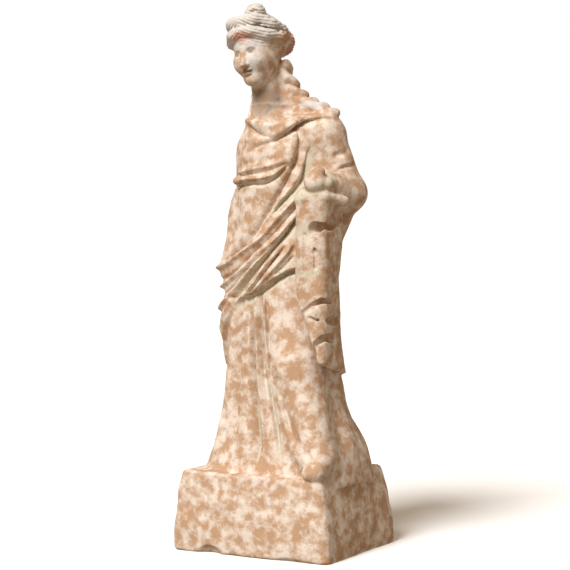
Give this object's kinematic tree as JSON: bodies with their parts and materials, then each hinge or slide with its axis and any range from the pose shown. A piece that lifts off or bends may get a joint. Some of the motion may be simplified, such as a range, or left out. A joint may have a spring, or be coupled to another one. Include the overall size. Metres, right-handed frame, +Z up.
{
  "type": "terracotta statuette",
  "caption": "Fired-clay figurine of a standing draped woman on a block base, with her left forearm raised at the waist and cloth falling below it.",
  "frame": {"origin": "middle of the base's underside", "axes": "+X to the figure's left, -Y to its front, +Z up"},
  "size_m": [0.0776, 0.067, 0.2403],
  "materials": {
    "terracotta": "matt fired clay, pinkish beige, with worn pale slip, lime crumb in the hollows and darker soil"
  },
  "bodies": {
    "root": {"statuette": "terracotta"}
  },
  "joints": []
}
